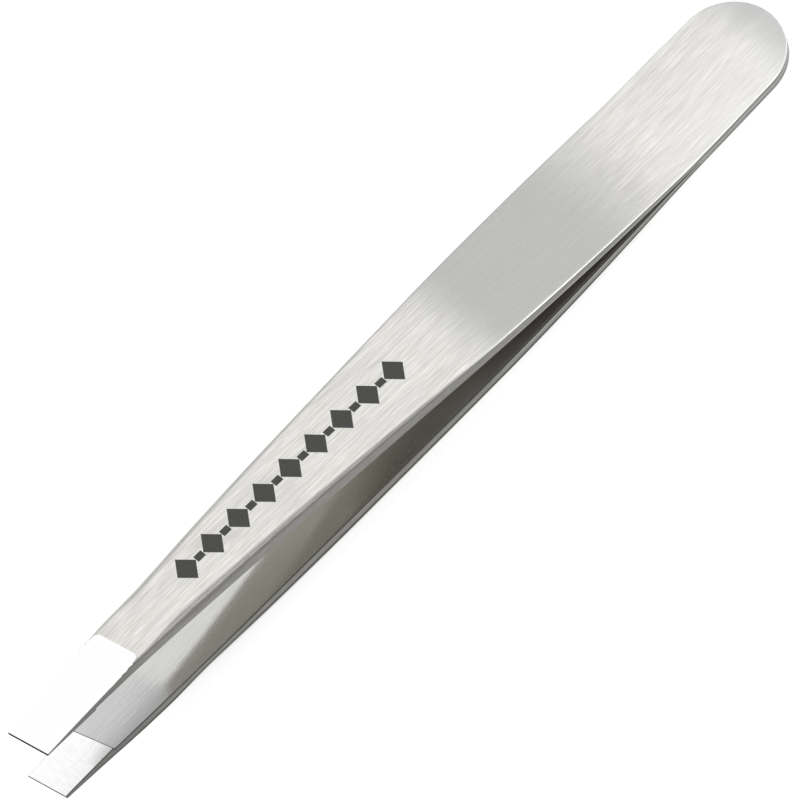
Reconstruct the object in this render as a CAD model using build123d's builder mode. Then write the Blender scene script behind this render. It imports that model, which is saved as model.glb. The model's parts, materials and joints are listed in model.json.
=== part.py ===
from build123d import *

import math
import os

# Slant tweezers: two mirrored spring-steel arms, welded together at a rounded head, with slanted tips.
#
# The shape is drawn in a design frame: x runs from the end of the head to the tips, y across the arms, and
# z = 0 is the plane in which the two arms meet. The upper arm lies above it and the lower arm is its mirror
# image. The finished pieces are then laid down as the tweezers lie on a table, on the back of the lower arm:
# +X points to the tips, +Z up, and the origin is the middle of the bounding box's underside.
#
# On the real tweezers each arm is one blank that bends like a leaf spring. Here each arm is cut at the middle
# of the stretch that bends, into a head, which stays still, and a blade, which turns about an axis along Y.

# Lengths along the tweezers, from the end of the head
LENGTH = 95.0  # to the leading corner of the tips
WELD_LENGTH = 15.0  # the arms touch up to here
BEND_X = 16.5  # the outer faces bend outwards here
BEND_REACH = 3.0  # and the bend starts and ends this far from it
FLEX_X = 25.0  # middle of the stretch that bends, where each arm turns
GRIP_X = 57.0  # the diverging arms start to curve back here
CROWN_X = 83.0  # and run level here, where the ground tip begins
RELIEF_X = 84.5  # the inner face is ground straight from here

# Heights above the plane in which the arms meet
HEAD_THICKNESS = 0.62
GRIP_OUTER_Z = 4.15  # outer face at GRIP_X
GRIP_INNER_Z = 2.56  # inner face at GRIP_X
RELIEF_Z = 4.0  # inner face behind the gripping pad
PAD_REAR_Z = 3.76  # gripping pad at its rear
TIP_INNER_Z = 3.97  # gripping pad at the leading corner
TIP_OUTER_Z = 4.25  # ground outer face at the tip's edge

# Widths, as half widths from the middle line
HEAD_RADIUS = 5.14
WAIST_X, WAIST_HALF = 45.0, 4.56
NECK_X, NECK_HALF = 85.0, 2.4
TIP_HALF = 2.1

# Slanted ends
SLANT = 9.0  # degrees between the tips' edge and the y axis
PAD_SLANT = 14.0  # the same for the rear of the gripping pad
PAD_LENGTH = 6.0  # along the middle line
BEVEL_ANGLE = 5.15  # slope of the ground outer face at the tips, in degrees

# Facets ground along the outer edges, by distance along the arm and by size
FACET = [(28.0, 0.06), (40.0, 0.16), (57.0, 0.31), (69.0, 0.46), (77.5, 0.68), (82.4, 0.18)]
RIM_RADIUS = 0.12  # rounding of the outer edge all along

# The cut in which an arm turns, and how close the pads come when the tips are shut
KNUCKLE_RADIUS = 1.6
KNUCKLE_CLEARANCE = 0.02
PAD_CLEARANCE = 0.01

# Welds
GROOVE = 0.22  # groove along the head's seam, filled and ground flush
NUGGET_RADIUS = 1.5
NUGGET_DEPTH = 0.28  # into each arm
NUGGETS_X = (5.5, 11.0)

REACH = 20.0  # longer than any half width or height, for shapes that cut right through

# The outer face runs straight from the bend to the grip, and then curves back like a parabola.
OUTER_SLOPE = (GRIP_OUTER_Z - HEAD_THICKNESS) / (GRIP_X - BEND_X)
CROWN_Z = GRIP_OUTER_Z + OUTER_SLOPE * (CROWN_X - GRIP_X) / 2


def outer_height(x):
    """Height of the outer face at x, from the bend to the crown."""
    if x < GRIP_X:
        return HEAD_THICKNESS + OUTER_SLOPE * (x - BEND_X)
    past = x - GRIP_X
    return GRIP_OUTER_Z + OUTER_SLOPE * past * (1 - past / (2 * (CROWN_X - GRIP_X)))


def cubic(x0, x1, start, start_slope, end, end_slope):
    """Control points of the cubic in x from (x0, start) to (x1, end) with these slopes at its ends."""
    reach = (x1 - x0) / 3
    heights = (start, start + start_slope * reach, end - end_slope * reach, end)
    return [(x0 + reach * i, height) for i, height in enumerate(heights)]


def height_at(points, x):
    """Height at x of the cubic with these control points."""
    u = (x - points[0][0]) / (points[3][0] - points[0][0])
    weights = ((1 - u) ** 3, 3 * u * (1 - u) ** 2, 3 * u * u * (1 - u), u**3)
    return sum(w * p[1] for w, p in zip(weights, points))


# Inner face: it leaves the weld at a shallow angle and follows the outer face, thinner towards the head.
INNER_SPRING = cubic(WELD_LENGTH, GRIP_X, 0.0, 0.033, GRIP_INNER_Z, 0.059)
INNER_GRIP = cubic(GRIP_X, RELIEF_X, GRIP_INNER_Z, 0.059, RELIEF_Z, 0.01)

# Outline: nearly parallel over the head, a long taper over the grip, nearly parallel again at the tips.
SIDE_SPRING = cubic(HEAD_RADIUS, WAIST_X, HEAD_RADIUS, 0.018, WAIST_HALF, -0.053)
SIDE_GRIP = cubic(WAIST_X, NECK_X, WAIST_HALF, -0.053, NECK_HALF, -0.049)
SIDE_TIP = cubic(NECK_X, LENGTH, NECK_HALF, -0.049, TIP_HALF, -0.015)


def slanted(degrees):
    """Normal of an upright plane that leans back from the tips by this much on the +Y side."""
    lean = math.radians(degrees)
    return Vector(math.cos(lean), math.sin(lean), 0)


# Planes of the slanted tip: the edge leads on the -Y side
TIP_CORNER = Vector(LENGTH, -TIP_HALF, TIP_OUTER_Z)
tip_plane = Plane(origin=TIP_CORNER, z_dir=slanted(SLANT))
pad_rear_plane = Plane(origin=(LENGTH - PAD_LENGTH, 0, 0), z_dir=slanted(PAD_SLANT))
bevel = math.radians(BEVEL_ANGLE)
bevel_plane = Plane(
    origin=TIP_CORNER,
    z_dir=slanted(SLANT) * math.sin(bevel) + Vector(0, 0, math.cos(bevel)),
)

# Axis of the cut in which the upper arm turns, halfway through the arm's thickness
FLEX_Z = (outer_height(FLEX_X) + height_at(INNER_SPRING, FLEX_X)) / 2


def closing_angle():
    """How far each blade turns, in radians, until the pads' leading corners all but meet."""
    along, up = LENGTH - FLEX_X, TIP_INNER_Z - FLEX_Z
    drop = FLEX_Z - PAD_CLEARANCE
    return math.asin(drop / math.hypot(along, up)) + math.atan2(up, along)


def resting_tilt():
    """Slope, in radians, of the line that touches the head's end and the back of the grip on one arm."""
    bend = OUTER_SLOPE / (2 * (CROWN_X - GRIP_X))
    step = GRIP_X * OUTER_SLOPE - (GRIP_OUTER_Z - HEAD_THICKNESS)
    touch = -GRIP_X + math.sqrt(GRIP_X**2 + step / bend)
    return math.atan(OUTER_SLOPE - 2 * bend * touch)


def outline():
    """The arm's outline seen from above, square at the tips."""
    with BuildSketch() as shape:
        with BuildLine():
            for side in (SIDE_SPRING, SIDE_GRIP, SIDE_TIP):
                Bezier(*side)
            Line((LENGTH, TIP_HALF), (LENGTH, -TIP_HALF))
            for side in (SIDE_TIP, SIDE_GRIP, SIDE_SPRING):
                Bezier(*[(x, -half) for x, half in reversed(side)])
            ThreePointArc((HEAD_RADIUS, -HEAD_RADIUS), (0, 0), (HEAD_RADIUS, HEAD_RADIUS))
        make_face()
    return shape.sketch


def side_profile():
    """The upper arm seen from the side, without its pad and level on the outside past the crown."""
    bend_start, bend_end = BEND_X - BEND_REACH, BEND_X + BEND_REACH
    bend_end_z = outer_height(bend_end)
    with BuildSketch() as shape:
        with BuildLine():
            Polyline((WELD_LENGTH, 0), (0, 0), (0, HEAD_THICKNESS), (bend_start, HEAD_THICKNESS))
            Bezier((bend_start, HEAD_THICKNESS), (BEND_X, HEAD_THICKNESS), (bend_end, bend_end_z))
            Line((bend_end, bend_end_z), (GRIP_X, GRIP_OUTER_Z))
            Bezier((GRIP_X, GRIP_OUTER_Z), ((GRIP_X + CROWN_X) / 2, CROWN_Z), (CROWN_X, CROWN_Z))
            Polyline((CROWN_X, CROWN_Z), (LENGTH, CROWN_Z), (LENGTH, RELIEF_Z), (RELIEF_X, RELIEF_Z))
            Bezier(*reversed(INNER_GRIP))
            Bezier(*reversed(INNER_SPRING))
        make_face()
    return shape.sketch


def facet_cutter(side):
    """Everything outside a 45 degree facet along the outer edge on this side, +1 or -1 in y."""
    across = Plane(origin=(0, 0, 0), x_dir=(1, 0, 0), z_dir=(0, side, -1))
    points = []
    for x, size in FACET:
        half = height_at(SIDE_SPRING if x < WAIST_X else SIDE_GRIP, x)
        corner = across.to_local_coords(Vector(x, side * half, outer_height(x) - size))
        points.append((corner.X, corner.Y))
    top = math.copysign(REACH, across.y_dir.Z)
    with BuildPart() as cutter:
        with BuildSketch(across):
            with BuildLine():
                Spline(*points)
                Polyline(points[-1], (points[-1][0], top), (points[0][0], top), points[0])
            make_face()
        extrude(amount=REACH, both=True)
    return cutter.part


# The gripping pad, ground on the inside of each tip, with its rear face parallel to the slanted edge
with BuildPart() as pad:
    pad_start = LENGTH - PAD_LENGTH - 1
    pad_slope = (TIP_INNER_Z - PAD_REAR_Z) / PAD_LENGTH
    seat = (RELIEF_Z + TIP_OUTER_Z) / 2
    with BuildSketch(Plane.XZ):
        with BuildLine():
            Polyline(
                (pad_start, TIP_INNER_Z - pad_slope * (LENGTH - pad_start)),
                (LENGTH, TIP_INNER_Z),
                (LENGTH, seat),
                (pad_start, seat),
                close=True,
            )
        make_face()
    extrude(amount=REACH, both=True)
    with BuildSketch():
        add(outline())
    extrude(amount=REACH, mode=Mode.INTERSECT)
    split(bisect_by=pad_rear_plane, keep=Keep.TOP)

# The whole upper arm: its side profile cut to the outline, then the pad, slanted tip and ground faces
with BuildPart() as arm:
    with BuildSketch(Plane.XZ):
        add(side_profile())
    extrude(amount=REACH, both=True)
    with BuildSketch():
        add(outline())
    extrude(amount=REACH, mode=Mode.INTERSECT)
    outer_faces = arm.faces().filter_by(lambda f: f.normal_at().Z > 0.9)
    side_faces = arm.faces().filter_by(lambda f: abs(f.normal_at().Z) < 0.1 and f.normal_at().X < 0.9)
    fillet(outer_faces.edges() & side_faces.edges(), radius=RIM_RADIUS)
    add(pad.part)
    split(bisect_by=tip_plane, keep=Keep.BOTTOM)
    split(bisect_by=bevel_plane, keep=Keep.BOTTOM)
    for side in (1, -1):
        add(facet_cutter(side), mode=Mode.SUBTRACT)


def blade_side(radius):
    """The blade's side of the cut: a disc of this radius round the axis, and all beyond the axis."""
    with BuildPart() as region:
        with BuildSketch(Plane.XZ):
            with Locations((FLEX_X, FLEX_Z)):
                Circle(radius)
                Rectangle(LENGTH, REACH, align=(Align.MIN, Align.CENTER))
        extrude(amount=REACH, both=True)
    return region.part


with BuildPart() as upper_arm_blade:
    add(arm.part)
    add(blade_side(KNUCKLE_RADIUS), mode=Mode.INTERSECT)

# The head half of the arm, with the groove for the seam weld and a pocket for half of each weld nugget
with BuildPart() as upper_arm_head:
    add(arm.part)
    add(blade_side(KNUCKLE_RADIUS + KNUCKLE_CLEARANCE), mode=Mode.SUBTRACT)
    meeting_face = upper_arm_head.faces().sort_by(Axis.Z)[0]
    seam = meeting_face.edges().filter_by(lambda e: e.center().X < WELD_LENGTH - 0.01)
    chamfer(seam, length=GROOVE)
    with BuildSketch(Plane.XY):
        with Locations(*[(x, 0) for x in NUGGETS_X]):
            Circle(NUGGET_RADIUS)
    extrude(amount=NUGGET_DEPTH, mode=Mode.SUBTRACT)

with BuildPart() as lower_arm_blade:
    add(mirror(upper_arm_blade.part, about=Plane.XY, mode=Mode.PRIVATE))

with BuildPart() as lower_arm_head:
    add(mirror(upper_arm_head.part, about=Plane.XY, mode=Mode.PRIVATE))

# The seam weld fills the groove between the arms round the head, flush with their edges
with BuildPart() as head_seam_weld:
    with BuildSketch(Plane.XY):
        add(outline())
    extrude(amount=GROOVE, both=True)
    with BuildSketch(Plane.XZ):
        with Locations((WELD_LENGTH / 2, 0)):
            Rectangle(WELD_LENGTH, REACH)
    extrude(amount=REACH, both=True, mode=Mode.INTERSECT)
    for half in (upper_arm_head, lower_arm_head):
        add(half.part, mode=Mode.SUBTRACT)
    for x in NUGGETS_X:
        with Locations((x, 0, 0)):
            Cylinder(NUGGET_RADIUS, 2 * NUGGET_DEPTH, mode=Mode.SUBTRACT)

# Two spot-weld nuggets join the arms inside the head
with BuildPart() as head_spot_welds:
    with Locations(*[(x, 0, 0) for x in NUGGETS_X]):
        Cylinder(NUGGET_RADIUS, 2 * NUGGET_DEPTH)

PIECES = {
    "upper_arm_head": upper_arm_head,
    "upper_arm_blade": upper_arm_blade,
    "lower_arm_head": lower_arm_head,
    "lower_arm_blade": lower_arm_blade,
    "head_seam_weld": head_seam_weld,
    "head_spot_welds": head_spot_welds,
}

# Lay the tweezers down: turn the plane between the arms up at the tips by the resting tilt, then put the
# middle of the underside at the origin
TILT = Rot(0, -math.degrees(resting_tilt()), 0)
box = Compound(children=[TILT * piece.part for piece in PIECES.values()]).bounding_box()
LAID_DOWN = Pos(-box.center().X, -box.center().Y, -box.min.Z) * TILT

os.makedirs("parts", exist_ok=True)
for name, piece in PIECES.items():
    finished = LAID_DOWN * piece.part
    finished.label = name
    export_step(finished, f"parts/{name}.step")
    print(name, "solids", len(finished.solids()), "volume", round(finished.volume, 2))

print("closing angle, degrees:", round(math.degrees(closing_angle()), 4))
print("resting tilt, degrees:", round(math.degrees(resting_tilt()), 4))
for arm_name, height in (("upper", FLEX_Z), ("lower", -FLEX_Z)):
    print(arm_name, "axis:", (LAID_DOWN * Pos(FLEX_X, 0, height)).position)
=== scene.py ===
"""Slant tweezers: two continuous steel arms, their welds and an etched mark, on a white floor in soft light.

Shapes are worked out in the CAD's design frame, in millimetres: x runs from the end of the head to the
tips, y across the arms, and the arms meet at z = 0. LAID_DOWN turns that frame by the resting tilt and
moves it so that the middle of the upper arm's strip, at FLEX_X, falls on the upper joint's axis.
"""

import json
import math

import bmesh
import bpy
from mathutils import Matrix, Vector


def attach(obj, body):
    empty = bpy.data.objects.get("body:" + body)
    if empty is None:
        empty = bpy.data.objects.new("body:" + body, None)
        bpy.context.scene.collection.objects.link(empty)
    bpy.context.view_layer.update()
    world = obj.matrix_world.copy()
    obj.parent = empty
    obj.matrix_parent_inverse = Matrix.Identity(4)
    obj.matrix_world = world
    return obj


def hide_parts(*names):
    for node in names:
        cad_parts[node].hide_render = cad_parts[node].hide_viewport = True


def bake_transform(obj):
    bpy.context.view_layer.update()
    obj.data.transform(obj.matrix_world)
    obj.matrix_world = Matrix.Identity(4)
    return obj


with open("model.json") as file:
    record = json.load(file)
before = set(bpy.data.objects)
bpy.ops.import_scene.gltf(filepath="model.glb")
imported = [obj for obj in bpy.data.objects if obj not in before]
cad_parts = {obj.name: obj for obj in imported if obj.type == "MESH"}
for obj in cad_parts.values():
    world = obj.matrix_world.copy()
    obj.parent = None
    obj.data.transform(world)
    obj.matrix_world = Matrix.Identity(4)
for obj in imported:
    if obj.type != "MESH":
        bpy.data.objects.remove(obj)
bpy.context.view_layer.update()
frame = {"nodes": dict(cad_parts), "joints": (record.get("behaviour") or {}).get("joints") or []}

MM = 0.001

# The arms' driving dimensions, as in the CAD
LENGTH = 95.0
WELD_LENGTH = 15.0
BEND_X, BEND_REACH = 16.5, 3.0
FLEX_X = 25.0
GRIP_X, CROWN_X, RELIEF_X = 57.0, 83.0, 84.5
HEAD_THICKNESS = 0.62
GRIP_OUTER_Z, GRIP_INNER_Z, RELIEF_Z = 4.15, 2.56, 4.0
PAD_REAR_Z, TIP_INNER_Z, TIP_OUTER_Z = 3.76, 3.97, 4.25
HEAD_RADIUS = 5.14
WAIST_X, WAIST_HALF = 45.0, 4.56
NECK_X, NECK_HALF = 85.0, 2.4
TIP_HALF = 2.1
HEAD_FLARE, WAIST_TAPER, NECK_TAPER, TIP_TAPER = 0.018, -0.053, -0.049, -0.015
SLANT, PAD_SLANT = math.radians(9.0), math.radians(14.0)
PAD_LENGTH = 6.0
BEVEL_ANGLE = math.radians(5.15)
GROOVE = 0.22
GROOVE_END_X = WELD_LENGTH - 0.15

# Softening that only the visual model has
ROUNDING = [  # (x, radius of the outer edge)
    (28.0, 0.09),
    (38.0, 0.15),
    (44.0, 0.28),
    (57.0, 0.48),
    (69.0, 0.6),
    (77.5, 0.82),
    (82.4, 0.28),
]
CORNER_RADIUS = 1.0  # of the ground bevel's rear corners, softened by polishing
CROWNED = (55.0, 80.0)  # the stretch over which that softening comes in
BROADENED = (38.0, 50.0)  # the stretch over which the walls' painted shade comes to reach over the edge
INNER_CHAMFER = 0.07  # along the inner edge

INNER_START_SLOPE, INNER_GRIP_SLOPE, INNER_END_SLOPE = 0.033, 0.059, 0.01
OUTER_SLOPE = (GRIP_OUTER_Z - HEAD_THICKNESS) / (GRIP_X - BEND_X)


def smooth(x, low, high):
    """0 below low, 1 above high, and a smooth step between."""
    t = min(max((x - low) / (high - low), 0.0), 1.0)
    return t * t * (3 - 2 * t)


def mix(a, b, t):
    return a + (b - a) * t


def cubic(x, x0, x1, start, start_slope, end, end_slope):
    """Height at x of the cubic from (x0, start) to (x1, end) with these slopes at its ends."""
    u, reach = (x - x0) / (x1 - x0), (x1 - x0) / 3
    heights = (start, start + start_slope * reach, end - end_slope * reach, end)
    weights = ((1 - u) ** 3, 3 * u * (1 - u) ** 2, 3 * u * u * (1 - u), u**3)
    return sum(w * h for w, h in zip(weights, heights))


def half_width(x):
    if x < HEAD_RADIUS:
        return math.sqrt(max(HEAD_RADIUS**2 - (HEAD_RADIUS - x) ** 2, 0.0))
    if x < WAIST_X:
        return cubic(x, HEAD_RADIUS, WAIST_X, HEAD_RADIUS, HEAD_FLARE, WAIST_HALF, WAIST_TAPER)
    if x < NECK_X:
        return cubic(x, WAIST_X, NECK_X, WAIST_HALF, WAIST_TAPER, NECK_HALF, NECK_TAPER)
    return cubic(x, NECK_X, LENGTH, NECK_HALF, NECK_TAPER, TIP_HALF, TIP_TAPER)


def outer_height(x):
    """The outer face before the tip is ground."""
    bend_start = BEND_X - BEND_REACH
    if x < bend_start:
        return HEAD_THICKNESS
    if x < BEND_X + BEND_REACH:
        return HEAD_THICKNESS + OUTER_SLOPE * (x - bend_start) ** 2 / (4 * BEND_REACH)
    if x < GRIP_X:
        return HEAD_THICKNESS + OUTER_SLOPE * (x - BEND_X)
    past, run = min(x, CROWN_X) - GRIP_X, CROWN_X - GRIP_X
    return GRIP_OUTER_Z + OUTER_SLOPE * past * (1 - past / (2 * run))


def bevel_height(x, y):
    """The plane ground on the outside of the tip."""
    along = (x - LENGTH) * math.cos(SLANT) + (y + TIP_HALF) * math.sin(SLANT)
    return TIP_OUTER_Z - along * math.tan(BEVEL_ANGLE)


def inner_height(x):
    """The inner face behind the pad."""
    if x < WELD_LENGTH:
        return 0.0
    if x < GRIP_X:
        return cubic(x, WELD_LENGTH, GRIP_X, 0.0, INNER_START_SLOPE, GRIP_INNER_Z, INNER_GRIP_SLOPE)
    if x < RELIEF_X:
        return cubic(x, GRIP_X, RELIEF_X, GRIP_INNER_Z, INNER_GRIP_SLOPE, RELIEF_Z, INNER_END_SLOPE)
    return RELIEF_Z


def pad_height(x):
    return TIP_INNER_Z - (LENGTH - x) * (TIP_INNER_Z - PAD_REAR_Z) / PAD_LENGTH


def rounding(x):
    """Radius of the outer edge, eased half way between straight and smooth from one entry to the next."""
    if x <= ROUNDING[0][0]:
        return ROUNDING[0][1]
    for (x0, start), (x1, end) in zip(ROUNDING, ROUNDING[1:]):
        if x <= x1:
            return mix(start, end, smooth(x, x0, x1) * 0.5 + 0.5 * (x - x0) / (x1 - x0))
    return ROUNDING[-1][1]


def crown(x, inset):
    """How far polishing has softened the outer face's edges, which rounds the corners of the bevel."""
    within = max(CORNER_RADIUS - inset, 0.0)
    round_off = CORNER_RADIUS - math.sqrt(CORNER_RADIUS**2 - min(within, CORNER_RADIUS) ** 2)
    return math.tan(BEVEL_ANGLE) * round_off * smooth(x, *CROWNED)


# The tweezers rest on the end of the head and on the crown, and the tilt is that of the line between them
bend = OUTER_SLOPE / (2 * (CROWN_X - GRIP_X))
step = GRIP_X * OUTER_SLOPE - (GRIP_OUTER_Z - HEAD_THICKNESS)
touch = -GRIP_X + math.sqrt(GRIP_X**2 + step / bend)  # past GRIP_X, where the crown touches
RESTING_TILT = math.atan(OUTER_SLOPE - 2 * bend * touch)
flex_z = (outer_height(FLEX_X) + inner_height(FLEX_X)) / 2
upper_axis = next(j for j in frame["joints"] if j["name"] == "upper_flex")["pos_m"]
turn = Matrix.Rotation(-RESTING_TILT, 4, "Y")
shift = Vector(upper_axis) - turn @ (Vector((FLEX_X, 0.0, flex_z)) * MM)
LAID_DOWN = Matrix.Translation(shift) @ turn


def placed(x, y, z):
    """A design-frame point, in millimetres, in the row frame, in metres."""
    return LAID_DOWN @ (Vector((x, y, z)) * MM)


# ---------------------------------------------------------------- arms

ACROSS = 20  # strips across the outer and inner faces
ROUND = 6  # strips round the outer edge
TURNS = 22  # rings round the end of the head
COARSE, FINE = 0.4, 0.1  # spacing of the rings
CLOSE = ((14.5, 16.5), (81.5, 85.5), (88.0, 90.0))  # stretches with fine spacing
LAST_RING = 0.16  # from the tip's end, where its dark line fades in
TIP_CLEAR = 0.2  # from the tip's end, kept free of evenly spaced rings
OUTER_TURN, INNER_TURN = (62.0, 79.0), (62.0, 86.0)  # where the rings turn from square to slanted
PAD_STEP = 0.15  # length of the step behind the pad, with painted shadow
STEP_RINGS = ((-0.12, False), (-0.01, False), (0.01, True))  # (x from the pad's rear, on the pad)
BARE, GROUND, PAD, INNER = 0.0, 1.0, 2.0, -1.0  # values of the attribute "ground"
STEP_SHADE, END_SHADE = 1.35, 2.0  # values of the attribute "wall" past 1, which marks a plain wall: painted shadow on the step behind the pad and painted shade on the tip's end face
FOOT = -0.6  # value of the attribute "edge" on the wall next to the outer edge, which marks a painted shade line on the lower arm
WALL_POINTS = ((0.04, FOOT), (0.22, FOOT), (0.38, 0.0), (0.6, 0.0))  # (share of the way down, edge)
FAR_REACH = 0.4  # of the walls' painted shade over the far edge, as a share of the near edge's
END_INSET = 0.12  # share by which the tip's end face is drawn in towards its middle height
DEPTH_START = 0.05  # depth given to the outer face itself, so that its sign tells the arms apart
TIP_CENTRE_X = LENGTH - TIP_HALF * math.tan(SLANT)
PAD_REAR_X = LENGTH - PAD_LENGTH


def stations():
    """(kind, value, pad, end) of each ring: an angle round the head's end, then x along the middle line."""
    rings = [("turn", math.radians(90) * i / TURNS, False) for i in range(TURNS)]
    x = HEAD_RADIUS
    while x < TIP_CENTRE_X - TIP_CLEAR:
        if PAD_REAR_X - PAD_STEP < x < PAD_REAR_X:
            rings += [("run", PAD_REAR_X + offset, pad) for offset, pad in STEP_RINGS]
            x = PAD_REAR_X + FINE
            continue
        rings.append(("run", x, x > PAD_REAR_X))
        fine = any(low < x < high for low, high in CLOSE)
        x = round(x + (FINE if fine else COARSE), 4)
    rings.append(("run", TIP_CENTRE_X - LAST_RING, True))
    rings.append(("run", TIP_CENTRE_X, True))
    rings.append(("run", TIP_CENTRE_X, True, True))
    return rings


def slants(x):
    """Tangents of the rings' slant on the outer and inner faces."""
    outer = math.tan(SLANT) * smooth(x, *OUTER_TURN)
    inner = math.tan(PAD_SLANT) * smooth(x, *INNER_TURN)
    return outer, mix(inner, math.tan(SLANT), smooth(x, PAD_REAR_X + 0.5, TIP_CENTRE_X))


def plan_point(kind, value, side, inset, slant):
    """x and y of a point this far in from the outline, on this side."""
    if kind == "turn":
        reach = HEAD_RADIUS - inset
        return HEAD_RADIUS - reach * math.cos(value), side * reach * math.sin(value)
    x = value
    for _ in range(4):
        y = side * (half_width(x) - inset)
        x = value - slant * y
    return x, y


def ring(kind, value, pad, end=False):
    """The points round the arm at one station, each with its finish and masks for painted shade and
    highlights: (x, y, z, ground, edge, wall).
    """
    middle = HEAD_RADIUS * (1 - math.cos(value)) if kind == "turn" else value
    slant_out, slant_in = slants(middle)
    reach = rounding(middle)
    low = GROOVE if middle < GROOVE_END_X else INNER_CHAMFER
    # The step behind the pad and the tip's end face take painted shadow and shade through the attribute
    # "wall"
    behind_pad = STEP_SHADE if 0.0 < PAD_REAR_X - middle < PAD_STEP else 0.0
    at_tip = END_SHADE if value == TIP_CENTRE_X else 0.0
    broad = smooth(middle, *BROADENED)

    def top(x, y, drop, edge, wall):
        plain = outer_height(x) - drop - crown(x, half_width(x) - abs(y))
        ground = bevel_height(x, y)
        finish = GROUND if ground < plain - 1e-6 else BARE
        wall = max(wall * (1 - finish), at_tip)
        return x, y, min(plain, ground), finish, edge * (1 - finish), wall

    def under(x, y, rise, edge):
        height = pad_height(x) if pad else inner_height(x)
        return x, y, height + rise, PAD if pad else INNER, edge, behind_pad

    def spread(left, right):
        """Points from one to the other, closer together near both."""
        for i in range(ACROSS + 1):
            t = i / ACROSS
            t = mix(t, 0.5 - 0.5 * math.cos(math.pi * t), 0.7)
            yield mix(left[0], right[0], t), mix(left[1], right[1], t)

    def corner(side):
        """From the outer face round the edge, down the wall and in under it."""
        loop = []
        # How far round the outer edge the walls' painted shade reaches; less on the far side
        soft = broad if side > 0 else broad * FAR_REACH
        wall_from, wall_to = mix(0.5, 0.0, soft), mix(1.5, 0.85, soft)
        for i in range(1, ROUND + 1):
            a = math.radians(90) * i / ROUND
            x, y = plan_point(kind, value, side, reach * (1 - math.sin(a)), slant_out)
            drop = reach * (1 - math.cos(a))
            loop.append(top(x, y, drop, math.sin(2 * a), smooth(a, wall_from, wall_to)))
        x, y = plan_point(kind, value, side, 0.0, slant_in)
        bottom = under(x, y, low, 0.0)
        head = loop[-1]
        for t, foot in WALL_POINTS:
            px, py, pz = (mix(head[n], bottom[n], t) for n in range(3))
            loop.append((px, py, pz, BARE, foot, 1.0))
        loop.append((*bottom[:3], BARE, 0.0 if low == GROOVE else 0.2, 1.0))
        return loop

    left, right = (plan_point(kind, value, s, reach, slant_out) for s in (-1, 1))
    points = [top(x, y, 0.0, 0.0, 0.0) for x, y in spread(left, right)]
    points += corner(1)
    left, right = (plan_point(kind, value, s, low, slant_in) for s in (-1, 1))
    # Edge 1 at the inner face's two sides takes the edges' painted shade and highlights, as on the outer edge
    rim = 0.0 if low == GROOVE else 1.0
    inner = [under(x, y, 0.0, 0.0) for x, y in spread(right, left)]
    inner[0], inner[-1] = (point[:4] + (rim, point[5]) for point in (inner[0], inner[-1]))
    points += inner + corner(-1)[::-1]
    # The tip's end face, drawn in, carries painted shade
    if end:
        middle_z = mix(TIP_OUTER_Z, TIP_INNER_Z, 0.5)
        points = [(x, y, mix(z, middle_z, END_INSET), BARE, 0.0, END_SHADE) for x, y, z, *_ in points]
    return points


def arm(name, sign):
    """One arm as a closed mesh, above the meeting plane for sign 1 and below it for -1.

    Its points carry the finish, and the masks where shade and highlights are painted, as attributes, and
    "design" holds x, y and the depth under the outer face, which is negative on the lower arm.
    """
    loops = [ring(*station) for station in stations()]
    mesh = bmesh.new()
    layers = {
        "ground": mesh.verts.layers.float.new("ground"),
        "edge": mesh.verts.layers.float.new("edge"),
        "wall": mesh.verts.layers.float.new("wall"),
    }
    design = mesh.verts.layers.float_vector.new("design")
    rows = []
    for loop in loops:
        row = []
        for x, y, z, ground, edge, wall in loop:
            vertex = mesh.verts.new(placed(x, y, sign * z))
            vertex[design] = (x, y, sign * (DEPTH_START + outer_height(x) - z))
            for key, value in (("ground", ground), ("edge", edge), ("wall", wall)):
                vertex[layers[key]] = value
            row.append(vertex)
        rows.append(row)
    count = len(rows[0])
    for a, b in zip(rows, rows[1:]):
        for i in range(count):
            j = (i + 1) % count
            quad = (a[i], b[i], b[j], a[j])
            mesh.faces.new(quad if sign > 0 else quad[::-1])
    mesh.faces.new(rows[-1] if sign < 0 else rows[-1][::-1])
    bmesh.ops.remove_doubles(mesh, verts=mesh.verts, dist=1e-8)
    bmesh.ops.recalc_face_normals(mesh, faces=mesh.faces)
    data = bpy.data.meshes.new(name)
    mesh.to_mesh(data)
    mesh.free()
    for polygon in data.polygons:
        polygon.use_smooth = True
    data.set_sharp_from_angle(angle=math.radians(24))
    piece = bpy.data.objects.new(name, data)
    bpy.context.scene.collection.objects.link(piece)
    return piece


# ---------------------------------------------------------------- materials


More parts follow.
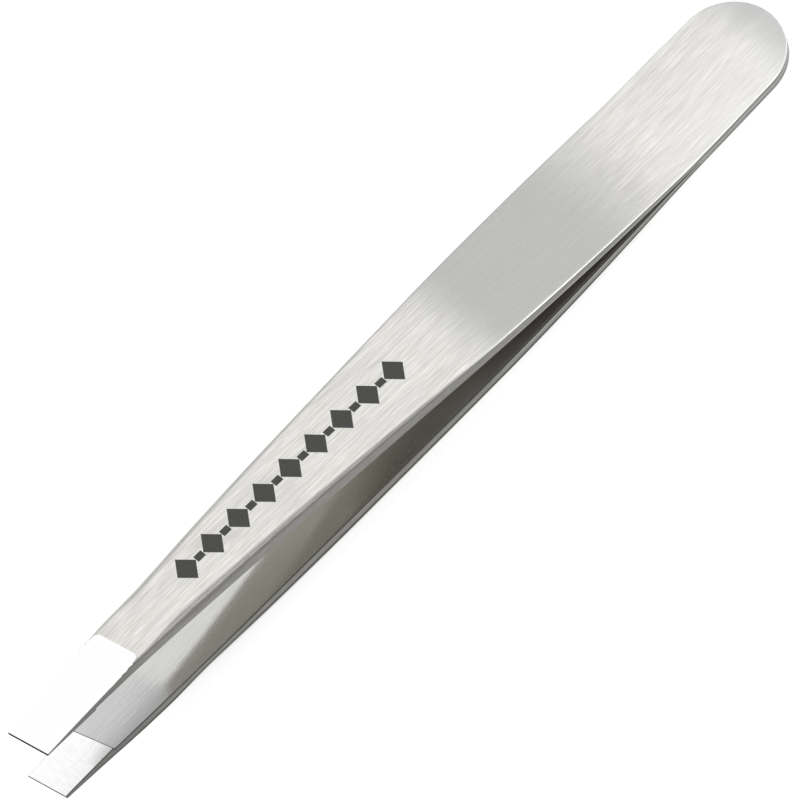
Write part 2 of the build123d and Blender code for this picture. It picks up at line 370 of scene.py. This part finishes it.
class Nodes:
    """Short calls for building a material's nodes."""

    def __init__(self, name):
        self.material = bpy.data.materials.new(name)
        self.material.use_nodes = True
        self.tree = self.material.node_tree
        self.shader = self.tree.nodes["Principled BSDF"]

    def add(self, kind, **settings):
        node = self.tree.nodes.new(kind)
        for key, value in settings.items():
            setattr(node, key, value)
        return node

    def link(self, source, target):
        self.tree.links.new(source, target)

    def feed(self, value, target):
        if isinstance(value, bpy.types.NodeSocket):
            self.link(value, target)
        else:
            target.default_value = value

    def attribute(self, name):
        return self.add("ShaderNodeAttribute", attribute_name=name)

    def math(self, operation, a, b=0.0, clamp=False):
        node = self.add("ShaderNodeMath", operation=operation, use_clamp=clamp)
        self.feed(a, node.inputs[0])
        self.feed(b, node.inputs[1])
        return node.outputs[0]

    def noise(self, vector, scale, detail=3.0, roughness=0.55):
        stretch = self.add("ShaderNodeVectorMath", operation="MULTIPLY")
        self.link(vector, stretch.inputs[0])
        stretch.inputs[1].default_value = scale
        node = self.add("ShaderNodeTexNoise")
        node.inputs["Scale"].default_value = 1.0
        node.inputs["Detail"].default_value = detail
        node.inputs["Roughness"].default_value = roughness
        self.link(stretch.outputs[0], node.inputs["Vector"])
        return node.outputs["Fac"]

    def ramp(self, value, low, high, out_low=0.0, out_high=1.0):
        node = self.add("ShaderNodeMapRange")
        node.interpolation_type = "SMOOTHSTEP"
        self.link(value, node.inputs["Value"])
        limits = (("From Min", low), ("From Max", high), ("To Min", out_low), ("To Max", out_high))
        for key, number in limits:
            node.inputs[key].default_value = number
        return node.outputs["Result"]

    def blend(self, factor, a, b):
        node = self.add("ShaderNodeMix", data_type="RGBA")
        self.feed(factor, node.inputs["Factor"])
        self.feed(a, node.inputs[6])
        self.feed(b, node.inputs[7])
        return node.outputs[2]

    def bump(self, height, distance, strength):
        node = self.add("ShaderNodeBump")
        node.inputs["Distance"].default_value = distance
        node.inputs["Strength"].default_value = strength
        self.link(height, node.inputs["Height"])
        return node.outputs["Normal"]


def grey(level, warmth=0.0):
    """A grey of this level, turned a little towards cream by warmth."""
    return (level * (1 + 0.5 * warmth), level, level * (1 - 1.5 * warmth), 1.0)


def brushed_steel():
    """Steel brushed lengthwise: smoother where the arms bend, ground at the tips; painted shade where the
    arms bend, on the walls and inside, and painted highlights on edges.
    """
    n = Nodes("brushed_steel")
    place = n.attribute("design").outputs["Vector"]
    split = n.add("ShaderNodeSeparateXYZ")
    n.link(place, split.inputs[0])
    x, y, z = (split.outputs[axis] for axis in "XYZ")
    is_lower = n.ramp(z, -0.01, 0.01, 1.0, 0.0)
    ground = n.attribute("ground").outputs["Fac"]
    edge = n.attribute("edge").outputs["Fac"]
    wall = n.attribute("wall").outputs["Fac"]
    is_ground = n.ramp(ground, 0.45, 0.55)
    is_inner = n.ramp(ground, -0.6, -0.4, 1.0, 0.0)

    fine = n.noise(place, (0.4, 17.0, 17.0), 4.0, 0.6)
    long = n.noise(place, (0.2, 7.0, 7.0), 3.0, 0.5)
    cloud = n.noise(place, (0.13, 0.3, 0.3), 3.0, 0.5)
    scratch = n.noise(place, (6.0, 0.8, 0.8), 4.0, 0.6)
    grain = n.math("ADD", n.math("MULTIPLY", fine, 0.65), n.math("MULTIPLY", long, 0.35))
    streak = n.ramp(fine, 0.58, 0.70)

    # The outer face: smoother where the arm bends, with painted shade there, a painted highlight on the near
    # side of the head, and a darker end to the head
    satin_and_shade = n.math("MULTIPLY", n.ramp(x, 16.0, 27.5), n.ramp(x, 38.0, 44.0, 1.0, 0.0))
    bright = n.blend(n.ramp(grain, 0.38, 0.62), grey(0.60, 0.032), grey(0.82, 0.026))
    bright = n.blend(n.math("MULTIPLY", streak, 0.6), bright, grey(0.98, 0.01))
    # Painted highlight: the head's near side is made lighter
    near = n.math("MULTIPLY", n.ramp(y, -4.0, 5.0, 0.12, 0.4), n.ramp(x, 10.0, 22.0, 1.0, 0.0))
    bright = n.blend(near, bright, grey(0.9, 0.01))
    # The stretch where the arm bends: its smoother finish, painted darker as shade
    plain = n.blend(n.ramp(grain, 0.3, 0.7), grey(0.46, 0.01), grey(0.51, 0.01))
    face = n.blend(satin_and_shade, bright, plain)
    dull = n.math("MULTIPLY", n.ramp(cloud, 0.4, 0.65), 0.12)
    dull = n.math("ADD", dull, n.ramp(x, 0.3, 5.0, 0.8, 0.0), clamp=True)
    face = n.blend(dull, face, grey(0.52))

    # The inner face: painted shade in the fold between the arms, pale towards the tips, and painted shade on
    # the upper arm's inner face, which faces down into the gap
    fold_shade = n.ramp(x, 34.0, 62.0, 1.0, 0.0)
    inside = n.blend(n.ramp(grain, 0.3, 0.7), grey(0.56, 0.012), grey(0.63, 0.012))
    behind = n.math("MULTIPLY", n.ramp(x, 80.5, 83.0), n.ramp(y, -1.5, 2.0))
    inside = n.blend(behind, inside, grey(0.68, 0.0))
    inside = n.blend(n.ramp(x, 80.5, 82.5, 0.0, 0.5), inside, grey(0.6, -0.004))
    inside = n.blend(fold_shade, inside, grey(0.22, 0.05))
    # Painted shade: the upper arm's inner face, which faces down into the gap, is darker and warmer
    above = n.blend(n.ramp(x, 52.0, 74.0), grey(0.46, 0.09), grey(0.33, 0.08))
    above = n.blend(n.ramp(x, 76.0, 84.0), above, grey(0.38, 0.0))
    inside = n.blend(is_lower, above, inside)

    # The walls, painted dark as shade, and the bevel and pads, which are ground across the arm
    walls = n.blend(n.ramp(grain, 0.3, 0.7), grey(0.17, 0.04), grey(0.25, 0.04))
    walls = n.blend(n.ramp(x, 80.0, 88.0, 0.0, 0.6), walls, grey(0.08, 0.01))
    polished = n.blend(n.ramp(scratch, 0.3, 0.7), grey(0.88), grey(0.95))
    polished = n.blend(n.ramp(ground, 1.4, 1.6, 0.55, 0.0), polished, grey(0.93))
    face = n.blend(is_inner, face, inside)
    face = n.blend(n.math("MULTIPLY", wall, 1.0, clamp=True), face, walls)
    face = n.blend(is_ground, face, polished)

    # Edges: a painted highlight along the edges by the head, painted shade along the grip's near edge and
    # painted shade lines on the lower arm's edges; painted shadow on the step behind the pad and painted
    # shade at the tips' ends
    edge_highlight = n.math("MULTIPLY", edge, n.ramp(long, 0.3, 0.6, 0.55, 0.95), clamp=True)
    edge_highlight = n.math("MULTIPLY", edge_highlight, n.ramp(x, 33.0, 44.0, 1.0, 0.0))
    face = n.blend(edge_highlight, face, grey(1.0))
    # Painted shade on the grip's rounded near edge
    near_side = n.math("MULTIPLY", n.ramp(x, 38.0, 46.0, 0.0, 0.4), n.ramp(y, -0.5, 0.5))
    round_edge = n.math("MULTIPLY", edge, near_side, clamp=True)
    face = n.blend(round_edge, face, grey(0.12, 0.01))
    # Painted shade lines along the lower arm's edges
    dark = n.math("MULTIPLY", n.ramp(n.math("ABSOLUTE", edge), 0.1, 0.5), is_lower)
    far_pad = n.math("MULTIPLY", n.ramp(x, 88.0, 89.0), n.ramp(y, 0.5, 1.0, 0.9, 0.0))
    dark = n.math("MULTIPLY", dark, n.math("SUBTRACT", 1.0, far_pad))
    face = n.blend(dark, face, grey(0.09, 0.04))
    # Painted shadow on the step behind the pad and painted shade on the tips' end faces
    ends = n.ramp(wall, 1.05, 1.5)
    face = n.blend(ends, face, grey(0.02, 0.02))
    n.link(face, n.shader.inputs["Base Color"])

    rough = n.ramp(grain, 0.3, 0.7, 0.42, 0.28)
    rough = n.math("ADD", rough, n.math("MULTIPLY", is_inner, n.ramp(x, 40.0, 60.0, 0.2, -0.23)))
    relief = n.math("MULTIPLY", is_inner, n.ramp(x, 80.5, 82.5, 0.0, 0.2))
    rough = n.math("ADD", rough, relief)
    rough = n.math("ADD", rough, n.math("MULTIPLY", satin_and_shade, -0.03))
    rough = n.math("ADD", rough, n.math("MULTIPLY", is_ground, -0.12), clamp=True)
    n.link(rough, n.shader.inputs["Roughness"])
    # Where shade is painted on the lower arm's edges, the step and the tips' ends, the steel is made
    # non-metallic so that it reflects nothing
    n.link(n.math("SUBTRACT", 1.0, n.math("MAXIMUM", dark, ends)), n.shader.inputs["Metallic"])
    n.shader.inputs["Specular IOR Level"].default_value = 0.0

    calm = n.math("MAXIMUM", n.math("MULTIPLY", satin_and_shade, 0.8), n.math("MULTIPLY", is_inner, 0.85))
    calm = n.math("MAXIMUM", calm, is_ground)
    lines = n.math("MULTIPLY", grain, n.math("SUBTRACT", 1.0, calm))
    height = n.math("ADD", lines, n.math("MULTIPLY", scratch, n.math("MULTIPLY", is_ground, 0.12)))
    n.link(n.bump(height, 0.00003, 0.4), n.shader.inputs["Normal"])
    return n.material


def weld_steel():
    """Weld metal ground flush, a little duller and greyer than the arms."""
    n = Nodes("weld_steel")
    place = n.add("ShaderNodeTexCoord").outputs["Object"]
    streaks = n.noise(place, (700.0, 700.0, 9000.0), 4.0)
    spots = n.noise(place, (1500.0, 1500.0, 1500.0), 3.0)
    tone = n.blend(n.ramp(streaks, 0.3, 0.7), grey(0.28, 0.01), grey(0.38, 0.01))
    n.link(tone, n.shader.inputs["Base Color"])
    n.link(n.ramp(spots, 0.3, 0.7, 0.38, 0.5), n.shader.inputs["Roughness"])
    n.shader.inputs["Metallic"].default_value = 1.0
    n.link(n.bump(streaks, 0.00002, 0.3), n.shader.inputs["Normal"])
    return n.material


def etched():
    """The dark, dry surface that laser marking leaves on steel."""
    n = Nodes("etched_mark")
    place = n.add("ShaderNodeTexCoord").outputs["Object"]
    speckle = n.noise(place, (9000.0, 9000.0, 9000.0), 4.0, 0.7)
    tone = n.blend(n.ramp(speckle, 0.3, 0.7), grey(0.028, 0.03), grey(0.062, 0.03))
    n.link(tone, n.shader.inputs["Base Color"])
    n.link(n.ramp(speckle, 0.3, 0.7, 0.5, 0.7), n.shader.inputs["Roughness"])
    n.shader.inputs["Metallic"].default_value = 0.2
    n.link(n.bump(speckle, 0.00001, 0.4), n.shader.inputs["Normal"])
    return n.material


steel = brushed_steel()

for name, sign, body in (("upper_arm", 1, "upper_blade"), ("lower_arm", -1, "lower_blade")):
    piece = arm(name, sign)
    piece.data.materials.append(steel)
    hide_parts(f"{name}_head", f"{name}_blade")
    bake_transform(piece)

welds = weld_steel()
for node in ("head_seam_weld", "head_spot_welds"):
    data = frame["nodes"][node].data
    data.materials.clear()
    data.materials.append(welds)

# ---------------------------------------------------------------- etched mark

MARK_START, MARK_END = 46.4, 75.6
MARK_SIDE = -0.35  # its middle line, from the arm's
LOZENGES = 9
LOZENGE_LENGTH, LOZENGE_WIDTH = 1.15, 1.45  # half of each
BAR_LENGTH, BAR_WIDTH = 0.45, 0.35  # half of each
MARK_DEPTH, MARK_RISE = 0.02, 0.008  # of the plates, under and over the outer face


def mark():
    """A plain geometric motif: lozenges with a short bar between each pair, as thin plates on the face."""
    mesh = bmesh.new()
    pitch = (MARK_END - MARK_START) / LOZENGES
    a, b = LOZENGE_LENGTH, LOZENGE_WIDTH
    lozenge = [(-a, 0.0), (0.0, -b), (a, 0.0), (0.0, b)]
    a, b = BAR_LENGTH, BAR_WIDTH
    bar = [(-a, -b), (a, -b), (a, b), (-a, b)]

    def layer(outline, offset):
        """Points of an outline at this height over the outer face."""
        return [mesh.verts.new(placed(x, MARK_SIDE + y, outer_height(x) + offset)) for x, y in outline]

    for i in range(LOZENGES):
        centre = MARK_START + pitch * (i + 0.5)
        outlines = [[(centre + x, y) for x, y in lozenge]]
        if i < LOZENGES - 1:
            outlines.append([(centre + pitch / 2 + x, y) for x, y in bar])
        for outline in outlines:
            low, high = layer(outline, -MARK_DEPTH), layer(outline, MARK_RISE)
            mesh.faces.new(high)
            mesh.faces.new(low[::-1])
            for j in range(4):
                k = (j + 1) % 4
                mesh.faces.new((low[j], low[k], high[k], high[j]))
    bmesh.ops.recalc_face_normals(mesh, faces=mesh.faces)
    data = bpy.data.meshes.new("etched_mark")
    mesh.to_mesh(data)
    mesh.free()
    piece = bpy.data.objects.new("etched_mark", data)
    bpy.context.scene.collection.objects.link(piece)
    return piece


motif = mark()
motif.data.materials.append(etched())
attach(motif, "upper_blade")

# ---------------------------------------------------------------- floor, lights and camera

FLOOR = 3.0  # m, half its side
floor_mesh = bpy.data.meshes.new("floor")
corners = [(-FLOOR, -FLOOR, 0), (FLOOR, -FLOOR, 0), (FLOOR, FLOOR, 0), (-FLOOR, FLOOR, 0)]
floor_mesh.from_pydata(corners, [], [(0, 1, 2, 3)])
floor = bpy.data.objects.new("floor", floor_mesh)
bpy.context.scene.collection.objects.link(floor)
paper = Nodes("floor_paper")
paper.shader.inputs["Base Color"].default_value = (0.4, 0.4, 0.4, 1)
paper.shader.inputs["Emission Color"].default_value = (1.0, 1.0, 1.0, 1)
paper.shader.inputs["Emission Strength"].default_value = 0.68
paper.shader.inputs["Roughness"].default_value = 0.9
paper.shader.inputs["Specular IOR Level"].default_value = 0.1
floor_mesh.materials.append(paper.material)

scene = bpy.context.scene
scene.view_settings.view_transform = "Standard"
scene.view_settings.look = "None"
scene.view_settings.exposure = 0.0

world = bpy.data.worlds.new("studio")
world.use_nodes = True
sky = world.node_tree
direction = sky.nodes.new("ShaderNodeTexCoord")
axes = sky.nodes.new("ShaderNodeSeparateXYZ")
fade = sky.nodes.new("ShaderNodeMapRange")
for key, number in (("From Min", 0.3), ("From Max", 0.85), ("To Min", 0.48), ("To Max", 1.1)):
    fade.inputs[key].default_value = number
sky.links.new(direction.outputs["Generated"], axes.inputs[0])
sky.links.new(axes.outputs["Z"], fade.inputs["Value"])
sky.links.new(fade.outputs["Result"], sky.nodes["Background"].inputs["Strength"])
sky.nodes["Background"].inputs["Color"].default_value = (1.0, 1.0, 1.0, 1)
scene.world = world


def softbox(name, direction, distance, size, power, mirrored=True):
    """An area light that faces the object from this direction; unless mirrored, steel doesn't reflect it."""
    data = bpy.data.lights.new(name, "AREA")
    data.shape = "RECTANGLE"
    data.size, data.size_y = size
    data.energy = power
    lamp = bpy.data.objects.new(name, data)
    towards = Vector(direction).normalized()
    lamp.location = towards * distance
    lamp.rotation_mode = "QUATERNION"
    lamp.rotation_quaternion = towards.to_track_quat("Z", "Y")
    lamp.visible_glossy = mirrored
    scene.collection.objects.link(lamp)


softbox("key", (-0.75, -0.1, 0.65), 0.9, (0.5, 0.5), 0.9)
softbox("rim", (-0.25, 0.86, 0.44), 0.9, (0.45, 0.45), 1.6)
softbox("fill", (0.1, 0.1, 1.0), 1.2, (1.6, 1.6), 3.2, mirrored=False)

# The camera looks over the tips and the +Y side, with the tweezers turned on the diagonal
ALONG = Vector((-0.9696, 0.1048, 0.2213)).normalized()  # towards the head, as it runs in the picture
ASIDE = Vector((-0.0077, 0.8904, -0.4552)).normalized()
SPIN = math.radians(46.1979)
DISTANCE = 0.9
VIEW_WIDTH = 70.02  # mm across the picture, at the tweezers
AIM = Vector((45.88, -4.97, -10.47))  # a point in line with the middle of the picture

right = ALONG * math.cos(SPIN) + ASIDE * math.sin(SPIN)
up = ALONG * math.sin(SPIN) - ASIDE * math.cos(SPIN)
back = right.cross(up).normalized()
camera_data = bpy.data.cameras.new("camera")
camera_data.sensor_width = 36.0
camera_data.lens = camera_data.sensor_width * DISTANCE / (VIEW_WIDTH * MM)
camera = bpy.data.objects.new("camera", camera_data)
basis = Matrix((right, up, back)).transposed().to_4x4()
depth = Vector((LENGTH / 2, 0.0, 0.0)).dot(back) * MM  # of the middle of the tweezers
spot = AIM * MM + back * (DISTANCE + depth)
camera.matrix_world = LAID_DOWN @ Matrix.Translation(spot) @ basis
camera_data.clip_start, camera_data.clip_end = 0.01, 20.0
scene.collection.objects.link(camera)
scene.camera = camera
